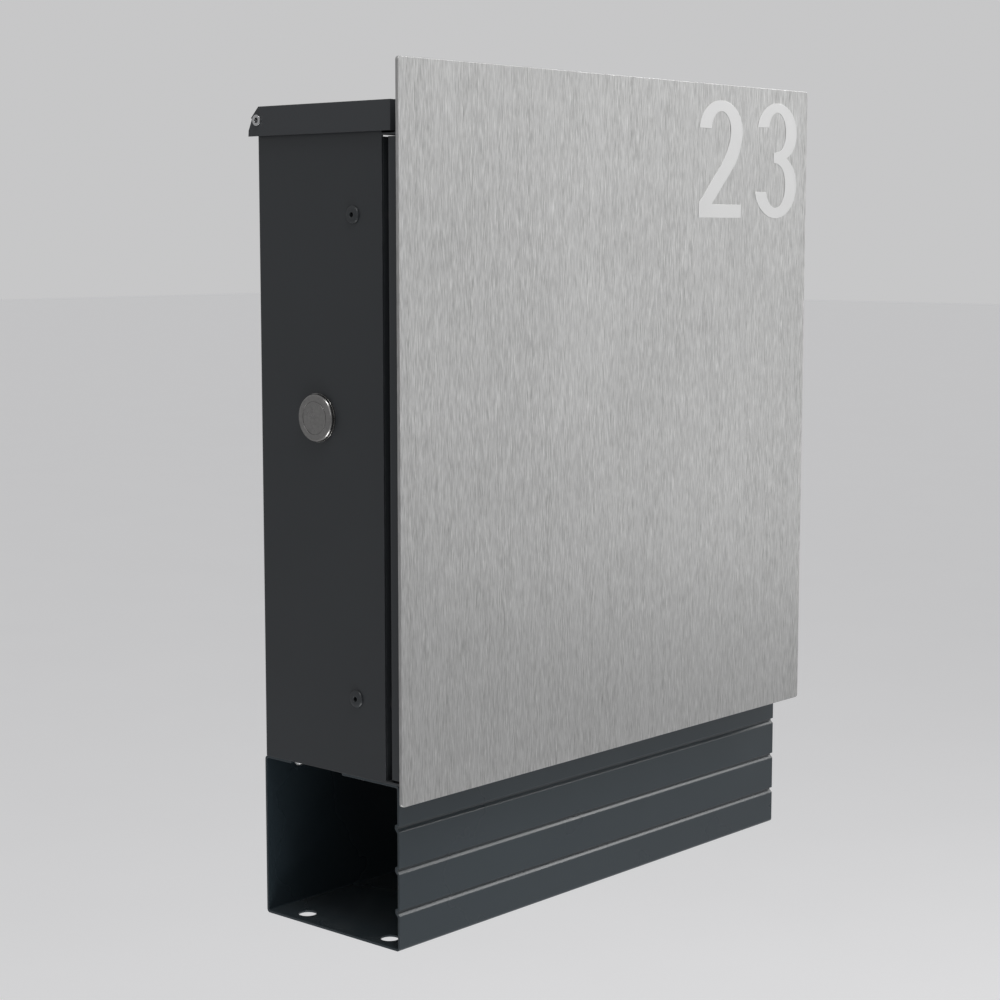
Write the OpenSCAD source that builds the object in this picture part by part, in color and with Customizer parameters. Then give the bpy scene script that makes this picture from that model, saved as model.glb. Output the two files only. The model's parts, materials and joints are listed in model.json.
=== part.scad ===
// Wall mounted mailbox with a hinged front door, a lift-up lid and a newspaper holder.
// +Z is up, the front faces -Y and the wall is the plane Y = 0.
// The origin is the centre of the four wall fixings.

/* [Housing] */
// Width over the side walls
body_w = 350; // [280:1:450]
// Height of the side walls
body_h = 357.5; // [290:0.5:450]
// Depth of the side walls
body_d = 95.5; // [78:0.5:140]
// Steel sheet of the housing, door and newspaper holder
sheet = 1.2; // [0.8:0.1:1.5]
// Outer radius of the folded corners
bend_r = 2; // [1.6:0.1:3]
// How far the floor runs forward under the door
lip_reach = 13.5; // [12.5:0.5:15]

/* [Wall fixings] */
// Thickness of the wall spacers
standoff = 5; // [4.5:0.5:12]
// Radius of a wall spacer
spacer_r = 10; // [6:0.5:15]
// Radius of a fixing hole
fix_hole_r = 3.25; // [2:0.05:5]
// Fixing holes, in from each side
fix_inset = 50; // [20:1:80]
// Lower fixing holes, above the floor
fix_low = 60; // [20:1:90]
// Upper fixing holes, below the top of the side walls
fix_drop = 57.5; // [30:0.5:90]

/* [Lid] */
// Sheet of the lid
lid_sheet = 1; // [0.8:0.1:1.2]
// Gap between a side wall and the skirt of the lid
lid_side_gap = 1.8; // [0.8:0.1:3]
// Gap between the side walls and the top of the lid
lid_top_gap = 2.1; // [1.5:0.1:4]
// Height of the skirt
lid_skirt = 15.8; // [14:0.1:22]
// How far the lid reaches past the side walls at the front
lid_nose = 9; // [5:0.1:9.2]
// Pivot, in from the back of the housing
pivot_in = 3.4; // [3.1:0.1:4]
// Pivot, below the top of the lid
pivot_drop = 7.3; // [6.8:0.1:7.6]
// Radius of the pivot rivet's shank
pivot_r = 2; // [1.5:0.1:2]
// Radius of the pivot rivet's head
pivot_head_r = 3; // [2.4:0.1:4]
// Radius of the pivot rivet's bore
pivot_bore_r = 1.5; // [0.8:0.1:1.5]

/* [Door] */
// Gap between the side walls and the door
door_gap = 3; // [2.5:0.1:4]
// Depth of the door pan
door_depth = 16.8; // [15.5:0.1:24]
// Gap between the floor and the door, taken up by a washer
door_lift = 1.5; // [0.8:0.1:3]
// Gap between the door and the shelf over it
door_head_gap = 0.8; // [0.5:0.1:2]
// Gap between that shelf and the skirt of the lid
shelf_gap = 0.8; // [0.5:0.1:2]
// How far the shelf reaches past the side walls
shelf_reach = 11.5; // [10.5:0.1:12]
// Width of the folds round the back of the door pan
door_fold = 12; // [10:0.5:14]
// Radius of the rounded rear edges of the door pan
door_bend_r = 3; // [1.6:0.1:3]
// Hinge axis, in from the side wall
hinge_in = 4; // [3.9:0.1:5]
// Hinge axis, forward of the back of the door
hinge_fwd = 4.5; // [4:0.1:5]
// Radius of the hinge pins
pin_r = 2; // [1.5:0.1:2]

/* [Door rails] */
// Leg of each rail along the side wall
rail_leg = 33.5; // [28:0.5:45]
// Fold of each rail across the front
rail_fold = 12.5; // [11:0.5:13.5]
// Depth of the front rail's top flange
rail_top = 14; // [10:0.5:20]
// Rivets, behind the front edge of the side walls
rivet_in = 21.5; // [16:0.5:26]
// Lower rivets, above the floor
rivet_low = 43; // [20:1:80]
// Upper rivets, below the top of the side walls
rivet_drop = 55.5; // [40:0.5:90]

/* [Front panel] */
// Thickness of the stainless panel
panel_t = 2; // [1:0.1:3]
// Overhang of the panel at each side
panel_over = 10; // [2:0.5:15]
// Overhang of the panel above the side walls
panel_up = 23.8; // [6:0.1:40]
// Overhang of the panel below the floor
panel_down = 7.7; // [0:0.1:15]
// Corner radius of the panel
panel_r = 2; // [0.5:0.1:6]
// Weld studs, in from the panel's sides
stud_in = 55; // [30:1:90]
// Lower weld studs, above the panel's bottom edge
stud_low = 75; // [65:1:120]
// Upper weld studs, below the panel's top edge
stud_drop = 115; // [100:1:160]

/* [House number] */
// Height of the digits
digit_h = 70; // [30:1:80]
// Thickness of the digits' film
digit_t = 0.2; // [0.2:0.1:2]
// Gap between the digits
digit_gap = 13.3; // [4:0.1:20]
// Margin from the right edge of the panel
digit_side = 12.2; // [5:0.1:60]
// Margin from the top edge of the panel
digit_top = 9.4; // [5:0.1:60]

/* [Lock] */
// Lock axis, in front of the back of the housing
lock_fwd = 46.3; // [38:0.1:52]
// Lock axis, above the floor
lock_up = 193.65; // [90:0.05:220]
// Radius of the lock's flange
lock_flange_r = 13.25; // [12.5:0.05:16]
// Radius of the lock's barrel
barrel_r = 9.5; // [9:0.1:11.4]
// Length of the barrel inside the wall
barrel_len = 20; // [18:0.5:21]
// Radius of the turning plug
plug_r = 6; // [5.5:0.1:6]
// Thickness of the hook cam
cam_t = 3; // [2:0.1:4]
// Width of the cam's arm
cam_w = 16; // [15:0.5:18]
// Radius of the weather cap
cap_r = 13; // [12:0.05:15]
// Thickness of the weather cap
cap_t = 2; // [1.6:0.1:3]
// Rounding of the weather cap's rim
cap_rim_r = 1.3; // [0.5:0.1:1.5]

/* [Newspaper holder] */
// Height of the holder
holder_h = 91.3; // [70:0.5:140]
// Gap between the holder and the back of the front panel
holder_gap = 10.1; // [7:0.1:16]
// Depth of the rear flange under the floor
flange_rear = 21; // [21:0.5:30]
// Depth of the front flange under the floor
flange_front = 43.2; // [38:0.1:45]
// Number of pressed grooves
groove_count = 3; // [0:1:3]
// First groove, below the floor
groove_drop = 22.1; // [10:0.1:22.5]
// Distance between the grooves
groove_pitch = 23.2; // [10:0.1:23.5]
// Height of a groove
groove_h = 3.3; // [2.4:0.1:5]
// Depth of a groove
groove_depth = 1.8; // [0.8:0.1:2.5]
// Slope of a groove's lower side, as a share of its height
groove_slope = 0.55; // [0.2:0.05:0.7]
// Radius of the drain holes
drain_r = 5.1; // [3:0.1:5.5]
// Holder rivets and drain holes, in from each end
holder_side = 11; // [9:0.1:20]
// Rear holder rivets, in front of the back
holder_rivet_rear = 16.5; // [10:0.1:17]
// Front holder rivets, in front of the back edge of the front flange
holder_rivet_front = 6; // [4:0.1:12]
// Drain holes, in from the front and from the back
drain_front = 18.2; // [12:0.1:30]
drain_rear = 21.7; // [12:0.1:30]

/* [Fasteners] */
// Radius of the blind rivets' heads
rivet_head_r = 4.75; // [3.5:0.05:6]
// Height of the blind rivets' heads
rivet_head_h = 1.6; // [1:0.1:2]
// Radius of the blind rivets' shanks
rivet_r = 2.4; // [1.6:0.1:3]
// Length of the blind rivets' set tails
rivet_tail = 4; // [2:0.1:5]
// Radius of the panel's weld studs
stud_r = 2; // [1.5:0.1:3]

/* [Hidden] */
$fn = 64;

cut = 1;              // how far a cutting shape runs past a face
run_gap = 0.05;       // radial clearance of a shaft that turns in its hole
loose_gap = 0.15;     // radial clearance of a bolt, stud or barrel in its hole
rest_gap = 0.1;       // gap between a buffer or washer and what comes to rest on it

side_x = body_w / 2;                     // outer face of a side wall
wall_x = side_x - sheet;                 // inner face of a side wall
front_y = -body_d;                       // front edge of the side walls
fix_x = side_x - fix_inset;
fix_high = body_h - fix_drop;
fix_mid = (fix_low + fix_high) / 2;      // the origin's height above the floor

lid_under = body_h + lid_top_gap;
lid_top = lid_under + lid_sheet;
lid_hem = lid_top - lid_skirt;           // lower edge of the skirt
lid_in_x = side_x + lid_side_gap;
lid_x = lid_in_x + lid_sheet;
lid_front_y = front_y - lid_nose;
lid_rear_y = -4.4;                       // where the top starts to slope down at the back
slope = 5.9;                             // drop, and run, of that slope
skirt_back = 3.8;                        // how far a skirt's hem reaches behind the housing
skirt_heel = 3.1;                        // height of the upright end of that hem
pivot_y = -pivot_in;
pivot_z = lid_top - pivot_drop;
ear_r = pivot_r + 1.1;                   // rounded ear of the side wall round the pivot
back_top = pivot_z - 5.6;                // top of the back wall, below the sweep of the lid
pivot_head_t = 0.8;
pivot_flare = 0.8;                       // how far the set end of a pivot rivet spreads
lid_buffer_in = 25;
lid_buffer_r = 4;

shelf_top = lid_hem - shelf_gap;
shelf_z = shelf_top - sheet;
shelf_y = front_y - shelf_reach;

door_back_y = front_y - door_gap;
door_front_y = door_back_y - door_depth;
door_z = sheet + door_lift;
door_top = shelf_z - door_head_gap;
hinge_x = side_x - hinge_in;
hinge_y = door_back_y - hinge_fwd;
pin_shoulder_r = pin_r + 0.5;
pin_shoulder = 5;
door_buffer_r = 3.5;

panel_x = side_x + panel_over;
panel_top = body_h + panel_up;
panel_front_y = door_front_y - panel_t;
stud_x = panel_x - stud_in;
stud_zs = [stud_low - panel_down, panel_top - stud_drop];
stud_len = 9.3;
nut_h = 3.2;

rail_in_x = wall_x - rail_fold;
rail_leg_y = front_y + rail_leg;
rivet_y = front_y + rivet_in;
rivet_zs = [rivet_low, body_h - rivet_drop];
mandrel_r = 1.3;                         // bore that a blind rivet's mandrel leaves

flange_t = 1;                            // lock flange
cap_gap = 0.2;                           // between the flange and the weather cap
cap_pivot_up = (plug_r + run_gap + barrel_r) / 2;    // middle of the barrel's wall, above the keyhole
cap_pin_r = (barrel_r - plug_r) / 2 - 0.55;
flat_w = 16.5;                           // across the flats of the barrel
cam_x = barrel_len + 0.5;                // near face of the cam, in from the side wall
keyway = [12, 1.6, 8.4];                 // depth, width and height of the keyhole
cam_screw_r = 2;
cam_head = [4.5, 2.4];                   // radius and height of the cam screw's head
hex_socket = [2.3, 1.6];                 // corner radius and depth of its socket
cap_ring_r = 8.9;                        // turned ring on the cap's face
cap_ring = [0.3, 0.3];                   // width and depth of that ring
square_w = 7;                            // square end of the plug
strike_back = 9.5;                       // strike pin, behind the back of the door
strike_y = door_back_y + strike_back;
strike_pin_r = 2;
cam_reach = -lock_fwd - strike_y;        // lock axis to strike pin
hook_gap = 0.6;                          // clearance round the strike pin in the hook
hook_nose = 9.3;                         // cam beyond the strike pin
ear_gap = 5;                             // cam's middle to the inner face of an ear
ear_t = 1.5;
ear_half_h = 7;
strike_half_h = 20;
strike_mid_x = -side_x + cam_x + cam_t / 2;
strike_rivet_up = 14;
strike_rivet_r = 1.6;
strike_head_r = 2.9;
strike_head_h = 1.2;
strike_in_x = -side_x + door_bend_r + 1; // outer end of the strike's base

holder_y = door_front_y + holder_gap;    // front face of the holder
groove_edge = sheet - 0.2;               // how far a groove's bend runs behind the sheet, above and below it
holder_rivet_x = side_x - holder_side;
holder_rivet_ys = [-holder_rivet_rear, holder_y + flange_front - holder_rivet_front];
drain_ys = [-drain_rear, holder_y + drain_front];

paint = [0.2, 0.21, 0.22];
steel = [0.72, 0.72, 0.71];
bright = [0.82, 0.82, 0.82];
nylon = [0.9, 0.9, 0.87];
black = [0.1, 0.1, 0.1];

// ---------- helpers ----------

// Everything below is drawn from the floor's underside and the housing's back, then moved to the wall
module on_wall() translate([0, -standoff, -fix_mid]) children();

// A box between two opposite corners
module block(low, high) translate(low) cube(high - low);

// A flat shape in Y and Z, as thick as t along +X from x
module side_plate(x, t) translate([x, 0, 0]) rotate([90, 0, 90]) linear_extrude(t) children();

// A flat shape in X and Y, from z upward
module upright(z, h) translate([0, 0, z]) linear_extrude(h) children();

// A flat shape in X and Z, as thick as t along -Y from y
module front_plate(y, t) translate([0, y, 0]) rotate([90, 0, 0]) linear_extrude(t) children();

// A round bar along +X, +Y or +Z between two values
module bar_x(r, a, b) translate([a, 0, 0]) rotate([0, 90, 0]) cylinder(r = r, h = b - a);
module bar_y(r, a, b) translate([0, a, 0]) rotate([-90, 0, 0]) cylinder(r = r, h = b - a);
module bar_z(r, a, b) translate([0, 0, a]) cylinder(r = r, h = b - a);

// Both sides of the mailbox
module both_sides() for (s = [0, 1]) mirror([s, 0, 0]) children();

// A rectangle with round corners
module round_rect(low, high, r) {
    translate([low[0] + r, low[1]]) square([high[0] - low[0] - 2 * r, high[1] - low[1]]);
    translate([low[0], low[1] + r]) square([high[0] - low[0], high[1] - low[1] - 2 * r]);
    for (x = [low[0] + r, high[0] - r], y = [low[1] + r, high[1] - r]) translate([x, y]) circle(r);
}

// A rectangle whose two far corners, at high[1], are round
module round_back(low, high, r) {
    translate([low[0] + r, low[1]]) square([high[0] - low[0] - 2 * r, high[1] - low[1]]);
    translate(low) square([high[0] - low[0], high[1] - low[1] - r]);
    for (x = [low[0] + r, high[0] - r]) translate([x, high[1] - r]) circle(r);
}

// A domed head that stands on z = 0
module dome(r, h) {
    ball_r = (r * r + h * h) / (2 * h);
    intersection() {
        translate([0, 0, h - ball_r]) sphere(ball_r);
        cylinder(r = r, h = h);
    }
}

// A hexagon nut that stands on z = 0
module nut(across, h, bore_r) difference() {
    cylinder(r = across / sqrt(3), h = h, $fn = 6);
    translate([0, 0, -cut]) cylinder(r = bore_r, h = h + 2 * cut);
}

// A flat washer that stands on z = 0
module washer(r, h, bore_r) difference() {
    cylinder(r = r, h = h);
    translate([0, 0, -cut]) cylinder(r = bore_r, h = h + 2 * cut);
}

// ---------- housing ----------

module at_fixings() for (x = [-fix_x, fix_x], z = [fix_low, fix_high]) translate([x, 0, z]) children();

module at_rivets() both_sides() for (z = rivet_zs) translate([0, rivet_y, z]) children();

module at_lock() translate([-side_x, -lock_fwd, lock_up]) children();

module lock_hole() intersection() {
    bar_x(barrel_r + loose_gap, -cut, sheet + cut);
    block([-2 * cut, -flat_w / 2 - loose_gap, -2 * barrel_r],
          [sheet + 2 * cut, flat_w / 2 + loose_gap, 2 * barrel_r]);
}

// Back and side walls in plan
module walls_plan() difference() {
    round_back([-side_x, front_y], [side_x, 0], bend_r);
    round_back([-wall_x, front_y - cut], [wall_x, -sheet], bend_r - sheet);
}

// The ear that carries a lid pivot
module pivot_ear() side_plate(wall_x, sheet) translate([pivot_y, pivot_z]) circle(ear_r);

module housing() color(paint) on_wall() difference() {
    union() {
        difference() {
            upright(0, body_h) walls_plan();
            block([-side_x - cut, pivot_y, back_top], [side_x + cut, cut, body_h + cut]);
        }
        both_sides() pivot_ear();
        upright(0, sheet) round_back([-side_x, front_y - lip_reach], [side_x, 0], bend_r);
    }
    at_fixings() bar_y(fix_hole_r, -sheet - cut, cut);
    at_rivets() bar_x(rivet_r, wall_x - cut, side_x + cut);
    both_sides() translate([0, pivot_y, pivot_z]) bar_x(pivot_r, wall_x - cut, side_x + cut);
    at_lock() lock_hole();
    at_holder_rivets() bar_z(rivet_r, -cut, sheet + cut);
    translate([hinge_x, hinge_y, 0]) bar_z(pin_r + run_gap, -cut, sheet + cut);
}

// Z-shaped rail over the door: its forward shelf holds the upper hinge pin
module front_rail() color(paint) on_wall() difference() {
    union() {
        block([-side_x, shelf_y, shelf_z], [side_x, front_y, shelf_top]);
        block([-wall_x, front_y, shelf_z], [wall_x, front_y + sheet, body_h]);
        block([-wall_x, front_y, body_h - sheet], [wall_x, front_y + rail_top, body_h]);
        both_sides() block([wall_x - sheet, front_y, shelf_z], [wall_x, front_y + rail_top, body_h]);
    }
    translate([hinge_x, hinge_y, 0]) bar_z(pin_r + run_gap, shelf_z - cut, shelf_top + cut);
}

// L-shaped stiffener behind a front edge of the housing
module door_rail() difference() {
    union() {
        block([wall_x - sheet, front_y, sheet], [wall_x, rail_leg_y, shelf_z - door_head_gap]);
        block([rail_in_x, front_y, sheet], [wall_x, front_y + sheet, shelf_z - door_head_gap]);
    }
    for (z = rivet_zs) translate([0, rivet_y, z]) bar_x(rivet_r, wall_x - sheet - cut, wall_x + cut);
}

module rail_left() color(paint) on_wall() mirror([1, 0, 0]) door_rail();

module rail_right() color(paint) on_wall() door_rail();

// Blind rivet through two sheets: its domed head stands on z = 0 and its set tail is below them
module blind_rivet() {
    tail_r = rivet_r + 0.6;
    tail_dome = rivet_tail * 0.4;
    tail_z = -2 * sheet - rivet_tail + tail_dome;
    bore_z = 0.1;
    difference() {
        union() {
            dome(rivet_head_r, rivet_head_h);
            bar_z(rivet_r, -2 * sheet, bore_z);
            bar_z(tail_r, tail_z, -2 * sheet);
            translate([0, 0, tail_z]) mirror([0, 0, 1]) dome(tail_r, tail_dome);
        }
        bar_z(mandrel_r, bore_z, rivet_head_h + cut);
    }
}

module side_rivets() color(paint) on_wall() at_rivets()
    translate([side_x, 0, 0]) rotate([0, 90, 0]) blind_rivet();

module wall_spacers() color(black) on_wall() at_fixings() difference() {
    bar_y(spacer_r, 0, standoff);
    bar_y(fix_hole_r, -cut, standoff + cut);
}

// ---------- lid ----------

// Outline of a skirt: its back edge steps out behind the housing
module skirt_outline() polygon([
    [lid_front_y, lid_hem], [lid_front_y, lid_top], [lid_rear_y, lid_top],
    [lid_rear_y + slope - 0.9, lid_top - slope - 0.3], [skirt_back - 0.2, lid_hem + skirt_heel],
    [skirt_back, lid_hem]]);

// The sheet that slopes down behind the pivots
module rear_slope_outline() polygon([
    [lid_rear_y, lid_top], [lid_rear_y + slope, lid_top - slope],
    [lid_rear_y + slope - lid_sheet / sqrt(2), lid_top - slope - lid_sheet / sqrt(2)],
    [lid_rear_y - lid_sheet * (sqrt(2) - 1), lid_under]]);

module lid() color(paint) on_wall() difference() {
    union() {
        block([-lid_x, lid_front_y, lid_under], [lid_x, lid_rear_y, lid_top]);
        block([-lid_x, lid_front_y, lid_hem], [lid_x, lid_front_y + lid_sheet, lid_top]);
        side_plate(-lid_x, 2 * lid_x) rear_slope_outline();
        both_sides() side_plate(lid_in_x, lid_sheet) skirt_outline();
    }
    both_sides() translate([0, pivot_y, pivot_z]) bar_x(pivot_r + run_gap, lid_in_x - cut, lid_x + cut);
}

module lid_rivet() difference() {
    head_x = lid_x + rest_gap;
    union() {
        bar_x(pivot_head_r, head_x, head_x + pivot_head_t);
        bar_x(pivot_r, wall_x - pivot_head_t, head_x + pivot_head_t);
        bar_x(pivot_r + pivot_flare, wall_x - pivot_head_t, wall_x);
    }
    bar_x(pivot_bore_r, wall_x - pivot_head_t - cut, head_x + pivot_head_t + cut);
}

module lid_rivets() color(bright) on_wall() both_sides() translate([0, pivot_y, pivot_z]) lid_rivet();

module lid_washers() color(nylon) on_wall() both_sides()
    translate([side_x, pivot_y, pivot_z]) rotate([0, 90, 0])
        washer(ear_r, lid_side_gap - rest_gap, pivot_r + run_gap);

module lid_buffers() color(black) on_wall() both_sides()
    translate([side_x - lid_buffer_in, front_y + rail_top / 2, 0])
        bar_z(lid_buffer_r, body_h, lid_under - rest_gap);

// ---------- door ----------

// The pan is a shallow tray with folds round its back, open to the letters
module door_pan() color(paint) on_wall() difference() {
    upright(door_z, door_top - door_z) round_back([-side_x, door_front_y], [side_x, door_back_y], door_bend_r);
    upright(door_z + sheet, door_top - door_z - 2 * sheet)
        round_back([-wall_x, door_front_y + sheet], [wall_x, door_back_y - sheet],
            door_bend_r - sheet);
    block([-side_x + door_fold, door_front_y + 2 * sheet, door_z + door_fold],
          [side_x - door_fold, door_back_y + cut, door_top - door_fold]);
    translate([hinge_x, hinge_y, 0]) bar_z(pin_r, door_z - cut, door_top + cut);
    at_studs() bar_y(stud_r + loose_gap, door_front_y - cut, door_front_y + sheet + cut);
    at_strike_rivets() bar_y(strike_rivet_r, door_back_y - sheet - cut, door_back_y + cut);
}

// The lower pin runs in the floor, the upper one in the shelf of the front rail
module door_pins() color(bright) on_wall() translate([hinge_x, hinge_y, 0]) {
    bar_z(pin_r, rest_gap, door_z + sheet);
    bar_z(pin_shoulder_r, door_z + sheet, door_z + sheet + pin_shoulder);
    bar_z(pin_shoulder_r, door_top - sheet - pin_shoulder, door_top - sheet);
    bar_z(pin_r, door_top - sheet, shelf_top);
}

module door_washer() color(nylon) on_wall() translate([hinge_x, hinge_y, sheet])
    washer(hinge_in - 0.2, door_lift - rest_gap, pin_r + run_gap);

module door_buffers() color(black) on_wall() for (z = rivet_zs)
    translate([-(rail_in_x + wall_x) / 2, 0, z]) bar_y(door_buffer_r, door_back_y + rest_gap, front_y);

module at_strike_rivets() for (s = [-1, 1])
    translate([-side_x + door_fold * 0.65, 0, lock_up + s * strike_rivet_up]) children();

// U-shaped bracket behind the door's left fold
module door_strike() color(bright) on_wall() {
    base_y = door_back_y - sheet - ear_t;
    ear_end_y = strike_y + strike_pin_r + 2.5;
    right_x = strike_mid_x + ear_gap;
    difference() {
        union() {
            block([strike_in_x, base_y, lock_up - strike_half_h],
                  [right_x + ear_t, base_y + ear_t, lock_up + strike_half_h]);
            for (x = [strike_mid_x - ear_gap - ear_t, right_x])
                block([x, base_y, lock_up - ear_half_h], [x + ear_t, ear_end_y, lock_up + ear_half_h]);
        }
        at_strike_rivets() bar_y(strike_rivet_r, base_y - cut, base_y + ear_t + cut);
        translate([strike_mid_x, strike_y, lock_up])
            bar_x(strike_pin_r, -ear_gap - ear_t - cut, ear_gap + ear_t + cut);
    }
}

module strike_pin() color(bright) on_wall() translate([strike_mid_x, strike_y, lock_up])
    bar_x(strike_pin_r, -ear_gap - ear_t, ear_gap + ear_t);

module strike_rivets() color(bright) on_wall() at_strike_rivets() {
    base_y = door_back_y - sheet - ear_t;
    bar_y(strike_rivet_r, base_y, door_back_y);
    translate([0, base_y, 0]) rotate([90, 0, 0]) dome(strike_head_r, strike_head_h);
}

// ---------- front panel ----------

module front_panel() color(steel) on_wall() front_plate(door_front_y, panel_t)
    round_rect([-panel_x, -panel_down], [panel_x, panel_top], panel_r);

module at_studs() for (x = [-stud_x, stud_x], z = stud_zs) translate([x, 0, z]) children();

module panel_studs() color(bright) on_wall() at_studs() bar_y(stud_r, door_front_y, door_front_y + stud_len);

module panel_nuts() color(bright) on_wall() at_studs()
    translate([0, door_front_y + sheet, 0]) rotate([-90, 0, 0]) nut(stud_r * 3.5, nut_h, stud_r);

// ---------- house number ----------

// Points of an elliptical arc, and of a curve that bends towards its middle point
function arc(mid, rx, rz, from, to, n = 14) =
    [for (i = [0:n]) let(a = from + (to - from) * i / n) mid + [rx * cos(a), rz * sin(a)]];
function bend(a, b, c, n = 8) =
    [for (i = [1:n - 1]) let(t = i / n) a * (1 - t) * (1 - t) + b * 2 * t * (1 - t) + c * t * t];

digit_w = 45;
digit_unit = digit_h / 70;    // the outlines below are drawn 70 high

two_top = [22.3, 52.5];
two_outline = concat(
    arc(two_top, 22, 17.5, 178, 0),
    bend([44.3, 52.5], [44.3, 43], [36.8, 32]), [[36.8, 32], [13, 8], [43.4, 8], [43.4, 0], [0, 0], [0, 8.6],
    [23.4, 33]], bend([23.4, 33], [32.1, 43.5], [32.1, 52.5]),
    arc(two_top, 9.8, 11, 0, 178));

three_top = [24, 53];
three_low = [22.8, 20];
three_outline = concat(
    arc(three_top, 21.4, 17.8, 172, 0),
    bend([45.4, 53], [45.4, 42], [34.1, 37.2]), [[34.1, 37.2]],
    bend([34.1, 37.2], [45.5, 32], [45.5, 20]),
    arc(three_low, 22.7, 20, 0, -169),
    arc(three_low, 10.5, 13.6, -163, 0),
    bend([33.3, 20], [33.3, 34.1], [20.2, 34.1]), [[20.2, 34.1], [20.2, 40.4]],
    bend([20.2, 40.4], [33.4, 40.4], [33.4, 53]),
    arc(three_top, 9.4, 12, 0, 168));

// A digit whose left side is at x
module digit(x, outline) front_plate(panel_front_y, digit_t)
    translate([x, panel_top - digit_top - digit_h]) polygon([for (p = outline) p * digit_unit]);

digit_three_x = panel_x - digit_side - digit_w * digit_unit;
digit_two_x = digit_three_x - digit_gap - (digit_w - 1) * digit_unit;

module digit_two() color(bright) on_wall() digit(digit_two_x, two_outline);

module digit_three() color(bright) on_wall() digit(digit_three_x, three_outline);

// ---------- lock ----------

module lock_body() color(bright) on_wall() at_lock() difference() {
    union() {
        bar_x(lock_flange_r, -flange_t, 0);
        intersection() {
            bar_x(barrel_r, -flange_t / 2, barrel_len);
            block([-flange_t, -flat_w / 2, -2 * barrel_r], [barrel_len + cut, flat_w / 2, 2 * barrel_r]);
        }
    }
    bar_x(plug_r + run_gap, -flange_t - cut, barrel_len + cut);
    translate([0, 0, cap_pivot_up]) bar_x(cap_pin_r + run_gap, -flange_t - cut, 3);
}

module lock_nut() color(bright) on_wall() at_lock() translate([sheet, 0, 0]) rotate([0, 90, 0])
    nut(2.4 * barrel_r, 4, barrel_r);

module lock_plug() color(bright) on_wall() at_lock() difference() {
    union() {
        bar_x(plug_r, -flange_t + 0.2, cam_x);
        block([cam_x - cut, -square_w / 2, -square_w / 2], [cam_x + cam_t, square_w / 2, square_w / 2]);
    }
    block([-flange_t - cut, -keyway[1] / 2, -keyway[2] / 2], [keyway[0], keyway[1] / 2, keyway[2] / 2]);
    bar_x(cam_screw_r, cam_x - 6, cam_x + cam_t + cut);
}

// The hook points up when unlocked. A quarter turn lays it over the strike pin.
module cam_outline() difference() {
    union() {
        circle(cam_w / 2 + 1);
        translate([-cam_w / 2, 0]) square([cam_w, cam_reach + hook_nose]);
    }
    square(square_w + 2 * run_gap, center = true);
    translate([0, cam_reach]) circle(strike_pin_r + hook_gap);
    intersection() {
        difference() {
            circle(cam_reach + strike_pin_r + hook_gap);
            circle(cam_reach - strike_pin_r - hook_gap);
        }
        translate([-cam_w, 0]) square([cam_w, cam_reach + hook_nose + cut]);
    }
}

module lock_cam() color(bright) on_wall() at_lock() side_plate(cam_x, cam_t) cam_outline();

module cam_screw() color(bright) on_wall() at_lock() {
    head_x = cam_x + cam_t;
    bar_x(cam_screw_r, cam_x - 4, head_x);
    difference() {
        bar_x(cam_head[0], head_x, head_x + cam_head[1]);
        translate([head_x + cam_head[1] - hex_socket[1], 0, 0]) rotate([0, 90, 0])
            cylinder(r = hex_socket[0], h = hex_socket[1] + cut, $fn = 6);
    }
}

// Disc with a rounded rim and a fine ring, hung on a hidden pin above the keyhole
module lock_cap() color(bright) on_wall() at_lock() translate([-flange_t - cap_gap, 0, 0])
rotate([0, -90, 0]) {
    rotate_extrude() difference() {
        union() {
            square([cap_r - cap_rim_r, cap_t]);
            square([cap_r, cap_t - cap_rim_r]);
            intersection() {
                translate([cap_r - cap_rim_r, cap_t - cap_rim_r]) circle(cap_rim_r);
                square([cap_r, cap_t]);
            }
        }
        translate([cap_ring_r - cap_ring[0] / 2, cap_t - cap_ring[1]]) square([cap_ring[0], cut]);
    }
    translate([cap_pivot_up, 0, 0]) bar_z(cap_pin_r, -flange_t - 2.5, 0.2);
}

// ---------- newspaper holder ----------

function groove_top(i) = -groove_drop - i * groove_pitch;

// The sheet follows each groove inward: steeply at the top, and in a long slope at the bottom
module groove_outline(top) {
    low = top - groove_h;
    ramp = 0.5;
    inner_ramp = 0.8;
    slope_h = groove_h * groove_slope;
    inner_y = holder_y + sheet;
    polygon([
        [holder_y, top + groove_edge], [holder_y, top], [holder_y + groove_depth, top - ramp],
        [holder_y + groove_depth, low + slope_h], [holder_y, low], [holder_y, low - groove_edge],
        [inner_y, low - groove_edge], [inner_y + groove_depth, low + slope_h - inner_ramp],
        [inner_y + groove_depth, top + groove_edge - ramp], [inner_y, top + groove_edge]]);
}

module holder_outline() {
    difference() {
        round_rect([holder_y, -holder_h], [0, 0], bend_r);
        round_rect([holder_y + sheet, sheet - holder_h], [-sheet, -sheet], bend_r - sheet);
        translate([holder_y + flange_front, -sheet - cut])
            square([-flange_rear - holder_y - flange_front, sheet + 2 * cut]);
        for (i = [0:1:groove_count - 1]) translate([holder_y - cut, groove_top(i) - groove_h - groove_edge])
            square([sheet + 2 * cut, groove_h + 2 * groove_edge]);
    }
    for (i = [0:1:groove_count - 1]) groove_outline(groove_top(i));
}

module at_holder_rivets() for (x = [-holder_rivet_x, holder_rivet_x], y = holder_rivet_ys)
    translate([x, y, 0]) children();

module newspaper_holder() color(paint) on_wall() difference() {
    side_plate(-side_x, body_w) holder_outline();
    at_holder_rivets() bar_z(rivet_r, -sheet - cut, cut);
    for (x = [-holder_rivet_x, holder_rivet_x], y = drain_ys)
        translate([x, y, 0]) bar_z(drain_r, -holder_h - cut, sheet + cut - holder_h);
}

module holder_rivets() color(bright) on_wall() at_holder_rivets() translate([0, 0, sheet]) blind_rivet();

// ---------- nodes ----------

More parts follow.
